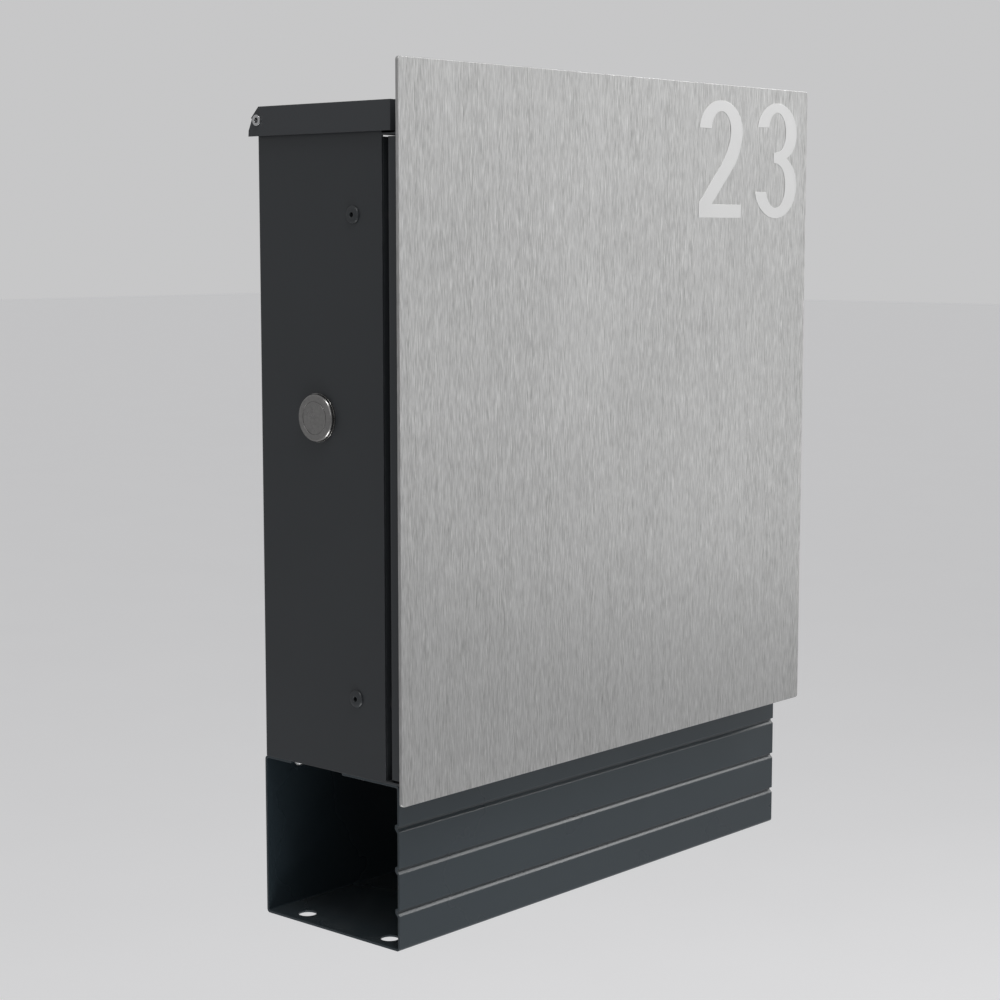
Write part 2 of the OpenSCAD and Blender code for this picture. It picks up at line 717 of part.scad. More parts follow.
housing();
front_rail();
rail_left();
rail_right();
side_rivets();
wall_spacers();
lid();
lid_rivets();
lid_washers();
lid_buffers();
door_pan();
door_pins();
door_washer();
door_buffers();
door_strike();
strike_pin();
strike_rivets();
front_panel();
panel_studs();
panel_nuts();
digit_two();
digit_three();
lock_body();
lock_nut();
lock_plug();
lock_cam();
cam_screw();
lock_cap();
newspaper_holder();
holder_rivets();
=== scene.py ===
# %% [markdown]
# # A wall mounted mailbox
#
# The mailbox is folded from sheet steel and powder coated in anthracite. Its door carries
# a large brushed stainless panel with a house number, the lid lifts for the letters, and
# an open holder for newspapers hangs under the floor. Every moving part is already placed
# by the engineering model. This lesson gives each part the finish that it has in the
# maker's workshop, and models again the few pieces whose edges and curves are seen closely.

# %% Load the fixed frame
import json
import math

import bmesh
import bpy
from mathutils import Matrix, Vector


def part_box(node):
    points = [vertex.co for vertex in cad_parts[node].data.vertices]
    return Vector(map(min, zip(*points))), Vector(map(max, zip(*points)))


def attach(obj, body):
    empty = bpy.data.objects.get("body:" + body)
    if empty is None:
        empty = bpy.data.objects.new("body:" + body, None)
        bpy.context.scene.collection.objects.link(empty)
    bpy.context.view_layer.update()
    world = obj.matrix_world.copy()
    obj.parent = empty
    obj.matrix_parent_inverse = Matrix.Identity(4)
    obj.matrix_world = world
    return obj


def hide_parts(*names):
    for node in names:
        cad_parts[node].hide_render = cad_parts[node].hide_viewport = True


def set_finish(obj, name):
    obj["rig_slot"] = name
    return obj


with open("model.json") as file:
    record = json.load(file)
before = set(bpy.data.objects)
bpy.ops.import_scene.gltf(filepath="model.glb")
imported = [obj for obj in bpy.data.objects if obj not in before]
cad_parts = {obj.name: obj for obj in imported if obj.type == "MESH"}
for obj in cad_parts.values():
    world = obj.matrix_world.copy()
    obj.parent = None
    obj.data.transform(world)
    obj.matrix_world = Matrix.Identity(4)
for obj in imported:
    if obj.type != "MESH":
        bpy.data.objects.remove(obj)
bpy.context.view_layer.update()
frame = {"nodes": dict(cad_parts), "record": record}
nodes = frame["nodes"]

# %% [markdown]
# ## Small tools for the bench
#
# Blender's operators act on whatever is selected, and everything that was just loaded is
# selected. So every step starts by choosing one piece, and then its faces or edges by
# where they lie. These helpers do only that choosing: the shaping itself is always one of
# the operators found in Blender's own menus.
#
# A finished piece then needs its shading. Smooth shading makes small bevels look round, but
# it also tilts the normals of the large flat faces beside them, and their reflections bend.
# A Weighted Normal modifier lets the largest faces decide, so flat sheets stay flat.

# %% Choose a piece and its edges
def choose(piece):
    """Leaves only this piece selected, in object mode"""
    if bpy.context.object and bpy.context.object.mode != "OBJECT":
        bpy.ops.object.mode_set(mode="OBJECT")
    bpy.ops.object.select_all(action="DESELECT")
    piece.select_set(True)
    bpy.context.view_layer.objects.active = piece


def edit(piece, kind="FACE"):
    """Opens the piece in edit mode with nothing selected"""
    choose(piece)
    bpy.ops.object.mode_set(mode="EDIT")
    bpy.ops.mesh.select_mode(type=kind)
    bpy.ops.mesh.select_all(action="DESELECT")


def pick_edges(piece, test):
    """Selects the edges whose two ends pass the test"""
    mesh = bmesh.from_edit_mesh(piece.data)
    chosen = [edge for edge in mesh.edges if test(edge.verts[0].co, edge.verts[1].co)]
    for edge in mesh.edges:
        edge.select_set(False)
    for edge in chosen:
        edge.select_set(True)
    bmesh.update_edit_mesh(piece.data)
    return len(chosen)


smooth_below = math.radians(32)


def settle(piece, body, slot, *replaced):
    """Applies the piece's place, smooths all but its flat faces, and lets it ride on its body"""
    choose(piece)
    bpy.ops.object.transform_apply(location=True, rotation=True, scale=True)
    bpy.ops.object.shade_smooth_by_angle(angle=smooth_below)
    flatten = piece.modifiers.new("flat faces", "WEIGHTED_NORMAL")
    flatten.weight = 100
    flatten.keep_sharp = True
    bpy.ops.object.modifier_apply(modifier=flatten.name)
    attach(piece, body)
    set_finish(piece, slot)
    if replaced:
        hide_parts(*replaced)
    print(piece.name, "faces:", len(piece.data.polygons))
    return piece


def near(a, b, reach=0.00005):
    """True when two lengths are the same within a twentieth of a millimetre"""
    return abs(a - b) < reach

# %% [markdown]
# ## The stainless panel
#
# The real panel is laser cut from 2 mm sheet, brushed on the front and deburred by hand, so
# its corners are round and its rim has a fine soft edge that catches the light. A plain box
# would look like paper. A cube is given the size of the panel's place in the frame, its four
# standing corner edges are bevelled to the corner radius, and then both rims are broken
# with a much smaller bevel.

# %% Cut the panel and round its corners
panel_low, panel_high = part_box("front_panel")
panel_corner, panel_rim = 0.002, 0.0003

bpy.ops.object.select_all(action="DESELECT")
bpy.ops.mesh.primitive_cube_add(size=1, location=(panel_low + panel_high) / 2)
stainless_panel = bpy.context.object
stainless_panel.name = "stainless_panel"
stainless_panel.scale = panel_high - panel_low
choose(stainless_panel)
bpy.ops.object.transform_apply(location=True, rotation=True, scale=True)
edit(stainless_panel, "EDGE")
corners = pick_edges(stainless_panel, lambda a, b: near(a.x, b.x) and near(a.z, b.z))
bpy.ops.mesh.bevel(offset=panel_corner, segments=10, profile=0.5, affect="EDGES")
print("panel corners rounded:", corners)

# %% Break the panel's two rims
bpy.ops.mesh.select_all(action="DESELECT")
rims = pick_edges(stainless_panel, lambda a, b: near(a.y, b.y))
bpy.ops.mesh.bevel(offset=panel_rim, segments=3, profile=0.5, affect="EDGES")
settle(stainless_panel, "door", "brushed_panel", "front_panel")
print("rim edges broken:", rims)

# %% [markdown]
# ## Turned parts
#
# The lock's weather cap and the blind rivets are round. On the bench they would be turned or
# pressed. Here a disc is extruded ring after ring: each step lifts the face by a little
# and resizes it to the next radius, so a list of (radius, height) steps is the outline that
# a lathe would follow. A spin would give the same shape, but the steps are easier to read.

# %% Turn a part from a list of steps
def turn(name, steps, facets=96):
    """A closed round part along +Z that follows (radius, height) steps in millimetres"""
    radius, height = steps[0]
    bpy.ops.object.select_all(action="DESELECT")
    bpy.ops.mesh.primitive_circle_add(
        vertices=facets, radius=radius / 1000, fill_type="NGON", location=(0, 0, height / 1000))
    part = bpy.context.object
    part.name = name
    bpy.ops.object.transform_apply(location=True, rotation=True, scale=True)
    edit(part, "FACE")
    bpy.ops.mesh.select_all(action="SELECT")
    for next_radius, next_height in steps[1:]:
        lift = (0, 0, (next_height - height) / 1000)
        bpy.ops.mesh.extrude_region_move(TRANSFORM_OT_translate={"value": lift})
        ratio = next_radius / radius
        bpy.ops.transform.resize(value=(ratio, ratio, 1), center_override=(0, 0, next_height / 1000))
        radius, height = next_radius, next_height
    bpy.ops.mesh.select_all(action="SELECT")
    bpy.ops.mesh.normals_make_consistent(inside=False)
    bpy.ops.object.mode_set(mode="OBJECT")
    return part


def arc_steps(middle, radius, start, end, count=6):
    """Steps along a quarter of a round edge, from one angle to another in degrees"""
    angles = [math.radians(start + (end - start) * i / count) for i in range(count + 1)]
    return [(middle[0] + radius * math.cos(a), middle[1] + radius * math.sin(a)) for a in angles]

# %% [markdown]
# ## The weather cap of the lock
#
# A small satin disc covers the keyhole and swings aside on a hidden pin. Its rim is rounded,
# and a fine turned ring runs round its face. The rim is what shines, so it gets a true
# quarter round, and the ring gets soft shoulders instead of a square slot.

# %% Turn the cap and stand it on the side of the housing
cap_low, cap_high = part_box("lock_cap")
flange_low, flange_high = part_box("lock_body")
cap_radius = (cap_high.y - cap_low.y) / 2 * 1000
cap_thick, cap_round, back_break, hub_radius = 2.0, 1.3, 0.3, 4.0
ring_radius, ring_depth, ring_top, ring_floor = 8.9, 0.4, 0.22, 0.16
cap_steps = (
    [(cap_radius - back_break, 0), (cap_radius, back_break)]
    + arc_steps((cap_radius - cap_round, cap_thick - cap_round), cap_round, 0, 90, 10)
    + [(ring_radius + ring_top, cap_thick), (ring_radius + ring_floor, cap_thick - ring_depth),
       (ring_radius - ring_floor, cap_thick - ring_depth), (ring_radius - ring_top, cap_thick),
       (hub_radius, cap_thick)])
weather_cap = turn("weather_cap", cap_steps, 128)
cap_middle = Vector((cap_low.x + cap_thick / 1000, (cap_low.y + cap_high.y) / 2,
                     (flange_low.z + flange_high.z) / 2))
print("cap radius", cap_radius, "middle", cap_middle)

# %% Add the hidden pin, and join it to the cap
pin_behind = (cap_high.x - cap_low.x) * 1000 - cap_thick
pin_up, pin_radius, pin_break, pin_sink = 7.775, 1.2, 0.2, 0.1
cap_pin = turn("cap_pin", [(pin_radius - pin_break, -pin_behind), (pin_radius, -pin_behind + pin_break),
                           (pin_radius, pin_sink)], 32)
cap_pin.location = (pin_up / 1000, 0, 0)
choose(weather_cap)
cap_pin.select_set(True)
bpy.ops.object.join()
weather_cap.rotation_euler = (0, -math.pi / 2, 0)
weather_cap.location = cap_middle
settle(weather_cap, "weather_cap", "lock_metal", "lock_cap")

# %% [markdown]
# ## Blind rivets
#
# Each rivet was set with a hand tool from outside: a low domed head with a small hole where
# the mandrel snapped off, a shank through both sheets, and a swollen tail inside. All four
# are alike, so one is modelled and copied, and every copy gets its own mesh.

# %% Turn one rivet and set four of them
rivet_low, rivet_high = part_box("side_rivets")
housing_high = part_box("housing")[1]
head_radius = 4.75
head_height = (rivet_high.x - housing_high.x) * 1000
tail_depth = 2.4
tail_steps = [(1.4, -6.35), (2.3, -6.1), (2.85, -5.5), (3.0, -4.8), (3.0, -tail_depth - 0.1)]
shank_steps = [(2.4, -tail_depth + 0.02), (2.4, 0.02), (head_radius - 0.15, 0.02)]
dome_steps = [(head_radius, 0.15), (4.62, 0.7), (4.35, 1.02), (3.9, 1.25), (3.2, 1.43), (2.4, 1.54)]
bore_steps = [(1.75, head_height - 0.02), (1.5, head_height - 0.06), (1.38, head_height - 0.25),
              (1.3, -3.0), (0.6, -3.2)]
rivet_pattern = turn("rivet_pattern", tail_steps + shank_steps + dome_steps + bore_steps, 48)

rivet_y = (rivet_low.y + rivet_high.y) / 2
rivet_heights = [rivet_low.z + head_radius / 1000, rivet_high.z - head_radius / 1000]
for side in (-1, 1):
    for count, height in enumerate(rivet_heights):
        rivet = rivet_pattern.copy()
        rivet.data = rivet_pattern.data.copy()
        bpy.context.collection.objects.link(rivet)
        rivet.name = f"side_rivet_{'left' if side < 0 else 'right'}_{count + 1}"
        rivet.rotation_euler = (0, side * math.pi / 2, 0)
        rivet.location = (side * housing_high.x, rivet_y, height)
        settle(rivet, "housing", "dark_paint")
        if side < 0 and count == 0:
            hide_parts("side_rivets")
bpy.data.objects.remove(rivet_pattern)

# %% [markdown]
# ## The newspaper holder
#
# The holder is one long strip of sheet. In the press it is given three grooves along its
# front, and then it is folded round four edges until it hangs under the floor as an open
# tray. The model follows the same order: a narrow plane is extruded edge by edge along the
# outline, Solidify gives it the thickness of the sheet, and the folds and grooves are then
# rounded with bevels. The grooves carry the light in long bright lines, so their slopes are
# real faces and not a bump.

# %% The outline of the strip, seen from its end
tray_low, tray_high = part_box("newspaper_holder")
sheet = 0.0012
fold_radius, lip_radius, burr = 0.002, 0.00022, 0.0002
rear_flange, front_flange = 0.021, 0.0432
groove_slope, groove_ramp = 0.55, 0.0005
groove_drop, groove_pitch, groove_height, groove_depth = 0.0221, 0.0232, 0.0033, 0.0018
front_y, back_y = tray_low.y, tray_high.y
floor_z, top_z = tray_low.z, tray_high.z
outline = [(back_y - rear_flange, top_z), (back_y, top_z), (back_y, floor_z), (front_y, floor_z)]
for groove in (2, 1, 0):
    groove_top = top_z - groove_drop - groove * groove_pitch
    groove_low = groove_top - groove_height
    outline += [(front_y, groove_low), (front_y + groove_depth, groove_low + groove_height * groove_slope),
                (front_y + groove_depth, groove_top - groove_ramp), (front_y, groove_top)]
outline += [(front_y, top_z), (front_y + front_flange, top_z)]
print("outline points:", len(outline))

# %% Extrude the strip along its outline
start = outline[0]
bpy.ops.object.select_all(action="DESELECT")
bpy.ops.mesh.primitive_plane_add(size=1, location=(0, 0, 0))
newspaper_tray = bpy.context.object
newspaper_tray.name = "newspaper_tray"
newspaper_tray.scale = (tray_high.x - tray_low.x, abs(outline[1][0] - start[0]), 1)
newspaper_tray.location = (0, (start[0] + outline[1][0]) / 2, start[1])
choose(newspaper_tray)
bpy.ops.object.transform_apply(location=True, rotation=True, scale=True)
edit(newspaper_tray, "EDGE")
pick_edges(newspaper_tray, lambda a, b: near(a.y, back_y) and near(b.y, back_y))
for here, there in zip(outline[1:], outline[2:]):
    step = (0, there[0] - here[0], there[1] - here[1])
    bpy.ops.mesh.extrude_region_move(TRANSFORM_OT_translate={"value": step})
bpy.ops.mesh.select_all(action="SELECT")
bpy.ops.mesh.remove_doubles(threshold=0.00001)
bpy.ops.mesh.normals_make_consistent(inside=False)
bpy.ops.object.mode_set(mode="OBJECT")
print("strip faces:", len(newspaper_tray.data.polygons))

# %% Make the strip as thick as the sheet
if any(face.normal.z > 0 for face in newspaper_tray.data.polygons if near(face.center.z, floor_z)):
    edit(newspaper_tray, "FACE")
    bpy.ops.mesh.select_all(action="SELECT")
    bpy.ops.mesh.flip_normals()
choose(newspaper_tray)
wall = newspaper_tray.modifiers.new("sheet", "SOLIDIFY")
wall.thickness = sheet
wall.offset = -1
wall.use_even_offset = True
bpy.ops.object.modifier_apply(modifier=wall.name)
print("folded faces:", len(newspaper_tray.data.polygons))

# %% Round the folds and the lips of the grooves
def along(a, b):
    """True for an edge that runs the whole width of the mailbox"""
    return abs(a.x - b.x) > (tray_high.x - tray_low.x) / 2 and near(a.y, b.y) and near(a.z, b.z)


def at_outline(point, places):
    """True for a point that lies at one of the places, seen from the end of the strip"""
    return any(near(point.y, y) and near(point.z, z) for y, z in places)


outer_folds = [(back_y, top_z), (back_y, floor_z), (front_y, floor_z), (front_y, top_z)]
inner_folds = [(y - math.copysign(sheet, y - (front_y + back_y) / 2),
                z - math.copysign(sheet, z - (floor_z + top_z) / 2)) for y, z in outer_folds]
edit(newspaper_tray, "EDGE")
found = pick_edges(newspaper_tray, lambda a, b: along(a, b) and at_outline(a, outer_folds))
bpy.ops.mesh.bevel(offset=fold_radius, segments=8, profile=0.5, affect="EDGES")
bpy.ops.mesh.select_all(action="DESELECT")
found_inside = pick_edges(newspaper_tray, lambda a, b: along(a, b) and at_outline(a, inner_folds))
bpy.ops.mesh.bevel(offset=fold_radius - sheet, segments=5, profile=0.5, affect="EDGES")
bpy.ops.mesh.select_all(action="DESELECT")
groove_points = outline[4:-2]
lips = pick_edges(newspaper_tray, lambda a, b: along(a, b) and at_outline(a, groove_points))
bpy.ops.mesh.bevel(offset=lip_radius, segments=3, profile=0.5, affect="EDGES")
bpy.ops.object.mode_set(mode="OBJECT")
print("folds rounded:", found, found_inside, "lips:", lips)

# %% Drill the drain holes and the rivet holes
hole_x, drain_radius, seat_radius, drill_length = 0.164, 0.0051, 0.00242, 0.006
drain_rows = (back_y - 0.0217, front_y + 0.0182)
seat_rows = (back_y - 0.0165, front_y + 0.0372)
drains = [(side * hole_x, y, floor_z, drain_radius) for side in (-1, 1) for y in drain_rows]
rivet_seats = [(side * hole_x, y, top_z, seat_radius) for side in (-1, 1) for y in seat_rows]
for x, y, z, radius in drains + rivet_seats:
    bpy.ops.object.select_all(action="DESELECT")
    bpy.ops.mesh.primitive_cylinder_add(
        vertices=48, radius=radius, depth=drill_length, location=(x, y, z))
    drill = bpy.context.object
    choose(newspaper_tray)
    bore = newspaper_tray.modifiers.new("bore", "BOOLEAN")
    bore.operation = "DIFFERENCE"
    bore.solver = "EXACT"
    bore.object = drill
    bpy.ops.object.modifier_apply(modifier=bore.name)
    bpy.data.objects.remove(drill)
print("holes drilled:", len(drains) + len(rivet_seats))

# %% Deburr the drain holes
def on_drain(point):
    """True for a point on the rim of a drain hole, on either face of the floor"""
    return point.z < floor_z + fold_radius and any(
        near((point - Vector((x, y, point.z))).length, drain_radius, 0.00006) for x, y, z, radius in drains)


edit(newspaper_tray, "EDGE")
rims = pick_edges(newspaper_tray, lambda a, b: near(a.z, b.z) and on_drain(a) and on_drain(b))
bpy.ops.mesh.bevel(offset=burr, segments=2, profile=0.5, affect="EDGES")
settle(newspaper_tray, "housing", "dark_paint", "newspaper_holder")
print("rim edges deburred:", rims)

# %% [markdown]
# ## Effects that the finishes share
#
# Paint, steel and rubber look real because of small things that happen on all of them: an
# edge that is slightly round and slightly worn, a fine grain, marks of a brush, and dust on
# what faces up. Each of these is a node group with named inputs, built once. A group only
# puts out numbers and normals, and the finish that uses it decides what they change.

# %% Helpers that place and wire nodes
def new_group(name, inputs, outputs):
    """A shader node group with the given sockets, and its two end nodes"""
    group = bpy.data.node_groups.new(name, "ShaderNodeTree")
    for socket, kind, value in inputs:
        made = group.interface.new_socket(socket, in_out="INPUT", socket_type=kind)
        if value is not None:
            made.default_value = value
    for socket, kind in outputs:
        group.interface.new_socket(socket, in_out="OUTPUT", socket_type=kind)
    return group, group.nodes.new("NodeGroupInput"), group.nodes.new("NodeGroupOutput")


def place(tree, kind, settings=None, **inputs):
    """A node with its settings, whose inputs take a number or another node's output"""
    node = tree.nodes.new(kind)
    for key, value in (settings or {}).items():
        setattr(node, key, value)
    for key, value in inputs.items():
        socket = node.inputs[int(key[1:]) if key[0] == "i" and key[1:].isdigit() else key.replace("_", " ")]
        if isinstance(value, bpy.types.NodeSocket):
            tree.links.new(value, socket)
        else:
            socket.default_value = value
    return node


FLOAT, VECTOR = "NodeSocketFloat", "NodeSocketVector"


def spread(tree, value, low, high, start=0.0, end=1.0):
    """Maps a mask or a noise to a range of numbers"""
    return place(tree, "ShaderNodeMapRange", {"clamp": True},
                 i0=value, i1=start, i2=end, i3=low, i4=high).outputs[0]


def noise(tree, spot, scale, detail, roughness):
    """Cloudy noise around one half"""
    return place(tree, "ShaderNodeTexNoise",
                 Vector=spot, Scale=scale, Detail=detail, Roughness=roughness).outputs[0]


def reckon(tree, operation, *values):
    """One sum or product of numbers and other nodes' outputs"""
    return place(tree, "ShaderNodeMath", {"operation": operation},
                 **{f"i{count}": value for count, value in enumerate(values)}).outputs[0]

# %% Edge wear: a rounded normal, and a mask that is bright along worn edges
edge_wear, ends_in, ends_out = new_group(
    "edge_wear",
    [("Place", VECTOR, None), ("Radius", FLOAT, 0.0005), ("Breakup", FLOAT, 90.0)],
    [("Mask", FLOAT), ("Normal", VECTOR)])
rounded = place(edge_wear, "ShaderNodeBevel", {"samples": 5}, Radius=ends_in.outputs["Radius"])
flat = place(edge_wear, "ShaderNodeNewGeometry")
turned = place(edge_wear, "ShaderNodeVectorMath", {"operation": "DOT_PRODUCT"},
               i0=rounded.outputs["Normal"], i1=flat.outputs["Normal"])
edge = spread(edge_wear, turned.outputs["Value"], 0.0, 1.0, 0.995, 0.88)
chips = noise(edge_wear, ends_in.outputs["Place"], ends_in.outputs["Breakup"], 5.0, 0.65)
worn = reckon(edge_wear, "MULTIPLY", edge, spread(edge_wear, chips, 0.0, 1.0, 0.4, 0.68))
edge_wear.links.new(worn, ends_out.inputs["Mask"])
edge_wear.links.new(rounded.outputs["Normal"], ends_out.inputs["Normal"])
print("group made:", edge_wear.name)

# %% Fine grain: powder coat, moulded rubber and film all have one
fine_grain, ends_in, ends_out = new_group(
    "fine_grain",
    [("Place", VECTOR, None), ("Scale", FLOAT, 900.0), ("Cloud Scale", FLOAT, 14.0)],
    [("Height", FLOAT), ("Cloud", FLOAT)])
peel = noise(fine_grain, ends_in.outputs["Place"], ends_in.outputs["Scale"], 2.0, 0.5)
triple = reckon(fine_grain, "MULTIPLY", ends_in.outputs["Scale"], 3.1)
speck = place(fine_grain, "ShaderNodeTexVoronoi", {"feature": "SMOOTH_F1"},
              Vector=ends_in.outputs["Place"], Scale=triple)
both = reckon(fine_grain, "MULTIPLY_ADD", speck.outputs["Distance"], 0.35, peel)
cloud = noise(fine_grain, ends_in.outputs["Place"], ends_in.outputs["Cloud Scale"], 4.0, 0.55)
fine_grain.links.new(both, ends_out.inputs["Height"])
fine_grain.links.new(cloud, ends_out.inputs["Cloud"])
print("group made:", fine_grain.name)

# %% Brushing: long thin marks in one direction, in three widths
brushing, ends_in, ends_out = new_group(
    "brushing",
    [("Place", VECTOR, None), ("Stretch", VECTOR, (1500.0, 1500.0, 45.0))],
    [("Streak", FLOAT), ("Height", FLOAT), ("Cloud", FLOAT)])
stretched = place(brushing, "ShaderNodeVectorMath", {"operation": "MULTIPLY"},
                  i0=ends_in.outputs["Place"], i1=ends_in.outputs["Stretch"]).outputs[0]
hair = noise(brushing, stretched, 1.0, 3.0, 0.6)
wide = noise(brushing, stretched, 0.6, 2.0, 0.6)
cloudy = noise(brushing, stretched, 0.045, 2.0, 0.5)
streak = reckon(brushing, "MULTIPLY_ADD", wide, 0.9, hair)
brushing.links.new(spread(brushing, streak, 0.0, 1.0, 0.68, 1.22), ends_out.inputs["Streak"])
brushing.links.new(hair, ends_out.inputs["Height"])
brushing.links.new(cloudy, ends_out.inputs["Cloud"])
print("group made:", brushing.name)

# %% Dust: a thin broken film on everything that faces up
dust, ends_in, ends_out = new_group(
    "dust",
    [("Place", VECTOR, None), ("Amount", FLOAT, 0.3)],
    [("Mask", FLOAT)])
facing = place(dust, "ShaderNodeNewGeometry")
split = place(dust, "ShaderNodeSeparateXYZ", Vector=facing.outputs["Normal"])
upward = spread(dust, split.outputs["Z"], 0.0, 1.0, 0.55, 1.0)
patches = noise(dust, ends_in.outputs["Place"], 60.0, 7.0, 0.7)
laid = reckon(dust, "MULTIPLY", upward, spread(dust, patches, 0.25, 1.0, 0.35, 0.75))
dust.links.new(reckon(dust, "MULTIPLY", laid, ends_in.outputs["Amount"]), ends_out.inputs["Mask"])
print("group made:", dust.name)

# %% [markdown]
# ## Starting a finish
#
# Every finish begins the same way: a Principled shader, the place on the object that all
# patterns read, and the edge group for a soft rounded normal. Object coordinates are in
# metres here, so a noise scale of 1000 gives grains of about a millimetre.

# %% Start a finish, mix two colours, vary the gloss and add a bump
def start_finish(name, edge_radius, breakup=90.0):
    """A new material with its shader, its coordinates and its edge group"""
    material = bpy.data.materials.new(name)
    material.use_nodes = True
    tree = material.node_tree
    shader = next(node for node in tree.nodes if node.type == "BSDF_PRINCIPLED")
    spot = place(tree, "ShaderNodeTexCoord").outputs["Object"]
    ends = use(tree, edge_wear, Place=spot, Radius=edge_radius, Breakup=breakup)
    return material, tree, shader, spot, ends


def use(tree, group, **inputs):
    """Places a node group in a material"""
    return place(tree, "ShaderNodeGroup", {"node_tree": group}, **inputs)


def blend_colours(tree, share, first, second):
    """A colour that goes from the first to the second as the share rises"""
    mix = place(tree, "ShaderNodeMix", {"data_type": "RGBA"})
    for socket, value in ((mix.inputs[0], share), (mix.inputs[6], first), (mix.inputs[7], second)):
        if isinstance(value, bpy.types.NodeSocket):
            tree.links.new(value, socket)
        else:
            socket.default_value = (*value, 1) if isinstance(value, tuple) else value
    return mix.outputs[2]


def vary_gloss(tree, shader, cloud, smooth, rough):
    """Lets the roughness drift between two values with a cloudy noise"""
    tree.links.new(spread(tree, cloud, smooth, rough, 0.3, 0.7), shader.inputs["Roughness"])


def bump(tree, shader, height, strength, distance, normal):
    """Feeds a height through a Bump node, on top of a rounded normal, into the shader"""
    bumped = place(tree, "ShaderNodeBump",
                   Height=height, Strength=strength, Distance=distance, Normal=normal)
    tree.links.new(bumped.outputs[0], shader.inputs["Normal"])

# %% [markdown]
# ## Anthracite powder coat
#
# Powder is sprayed on dry and melts into a tough matt skin. Close up it has a fine orange
# peel, its shade drifts a little over a large sheet, sharp folds are rubbed slightly paler,
# and dust lies where the sheet faces up. Fine noise gives the peel as a bump, wide noise
# the drift in colour and gloss, and the shared groups the edges and the dust.

# %% A recipe for powder coat, in three mixes: the lid's mix is a paler copy that paints in light
def powder_coat(name, dark, pale, gloss=0.37):
    """Anthracite powder coat whose shade drifts between two colours"""
    material, tree, shader, spot, ends = start_finish(name, 0.0006)
    grain = use(tree, fine_grain, Place=spot, Scale=1100.0, Cloud_Scale=9.0)
    dusty = use(tree, dust, Place=spot, Amount=0.10)
    body_colour = blend_colours(tree, grain.outputs["Cloud"], dark, pale)
    rub = spread(tree, ends.outputs["Mask"], 0.0, 0.35)
    rubbed = blend_colours(tree, rub, body_colour, (0.16, 0.17, 0.18))
    dusted = blend_colours(tree, dusty.outputs["Mask"], rubbed, (0.30, 0.29, 0.27))
    tree.links.new(dusted, shader.inputs["Base Color"])
    vary_gloss(tree, shader, grain.outputs["Cloud"], gloss, gloss + 0.09)
    shader.inputs["Specular IOR Level"].default_value = 0.5
    bump(tree, shader, grain.outputs["Height"], 0.10, 0.0001, ends.outputs["Normal"])
    print("finish:", material.name)
    return material


paint = powder_coat("anthracite_powder_coat", (0.024, 0.027, 0.030), (0.032, 0.036, 0.040))
# The lid is the same paint as the box. Its paler copy is painted light, standing in for the stronger light
# that falls on the top.
lid_paint_painted_lighter = powder_coat("anthracite_powder_coat_lid_painted_lighter", (0.034, 0.037, 0.041), (0.044, 0.048, 0.053))
holder_paint = powder_coat("anthracite_powder_coat_holder",
                           (0.019, 0.028, 0.034), (0.026, 0.037, 0.045), gloss=0.24)

# %% [markdown]
# ## Brushed stainless steel
#
# An abrasive belt runs up and down the panel and leaves thousands of hair lines. They lighten
# and darken the metal in short vertical streaks and scatter its reflections sideways. The
# streaks come from noise that is squeezed across the brushing and drawn out along it.

# %% Brush the panel
brushed, tree, shader, spot, ends = start_finish("brushed_stainless_steel", 0.0003, 140.0)
marks = use(tree, brushing, Place=spot, Stretch=(4200.0, 4200.0, 165.0))
smudge = use(tree, fine_grain, Place=spot, Scale=500.0, Cloud_Scale=7.0)
steel = blend_colours(tree, marks.outputs["Streak"], (0.34, 0.34, 0.336), (0.74, 0.74, 0.73))
cloud_share = spread(tree, marks.outputs["Cloud"], 0.0, 0.35, 0.35, 0.65)
drifted = blend_colours(tree, cloud_share, steel, (0.62, 0.62, 0.615))
clean_rim = blend_colours(tree, spread(tree, ends.outputs["Mask"], 0.0, 0.5), drifted, (0.75, 0.75, 0.745))
tree.links.new(clean_rim, shader.inputs["Base Color"])
shader.inputs["Metallic"].default_value = 1.0
shader.inputs["Anisotropic"].default_value = 0.6
streak_gloss = spread(tree, marks.outputs["Streak"], 0.45, 0.36)
smudges = spread(tree, smudge.outputs["Cloud"], 0.0, 1.0, 0.35, 0.7)
tree.links.new(reckon(tree, "MULTIPLY_ADD", smudges, 0.05, streak_gloss), shader.inputs["Roughness"])
bump(tree, shader, marks.outputs["Height"], 0.22, 0.00008, ends.outputs["Normal"])
print("finish:", brushed.name)

# %% [markdown]
# ## Metals of the small parts
#
# The lock is satin nickel, the cam and the strike are zinc plated, and the rivets are
# aluminium. They differ in colour, in gloss and in the size of their marks, so one recipe
# serves them all: base metal, fine scratches, a darker film in patches and paler worn edges.

# %% A recipe for the small metals
def metal_finish(name, dark, pale, edge_colour, gloss, stretch, grain_scale, depth):
    """A metal with directional scratches, a patchy film and worn edges"""
    material, tree, shader, spot, ends = start_finish(name, 0.00025, 400.0)
    marks = use(tree, brushing, Place=spot, Stretch=stretch)
    film = use(tree, fine_grain, Place=spot, Scale=grain_scale, Cloud_Scale=grain_scale / 14)
    metal = blend_colours(tree, marks.outputs["Streak"], dark, pale)
    filmed = blend_colours(tree, spread(tree, film.outputs["Cloud"], 0.0, 0.5, 0.45, 0.75), metal, dark)
    worn = blend_colours(tree, spread(tree, ends.outputs["Mask"], 0.0, 0.6), filmed, edge_colour)
    tree.links.new(worn, shader.inputs["Base Color"])
    shader.inputs["Metallic"].default_value = 1.0
    vary_gloss(tree, shader, film.outputs["Cloud"], gloss - 0.05, gloss + 0.07)
    height = reckon(tree, "MULTIPLY_ADD", film.outputs["Height"], 0.4, marks.outputs["Height"])
    bump(tree, shader, height, depth, 0.00005, ends.outputs["Normal"])
    print("finish:", material.name)
    return material


satin_nickel = metal_finish("satin_nickel", (0.29, 0.285, 0.28), (0.37, 0.365, 0.355), (0.72, 0.71, 0.70),
                            0.30, (900.0, 900.0, 900.0), 1500.0, 0.10)

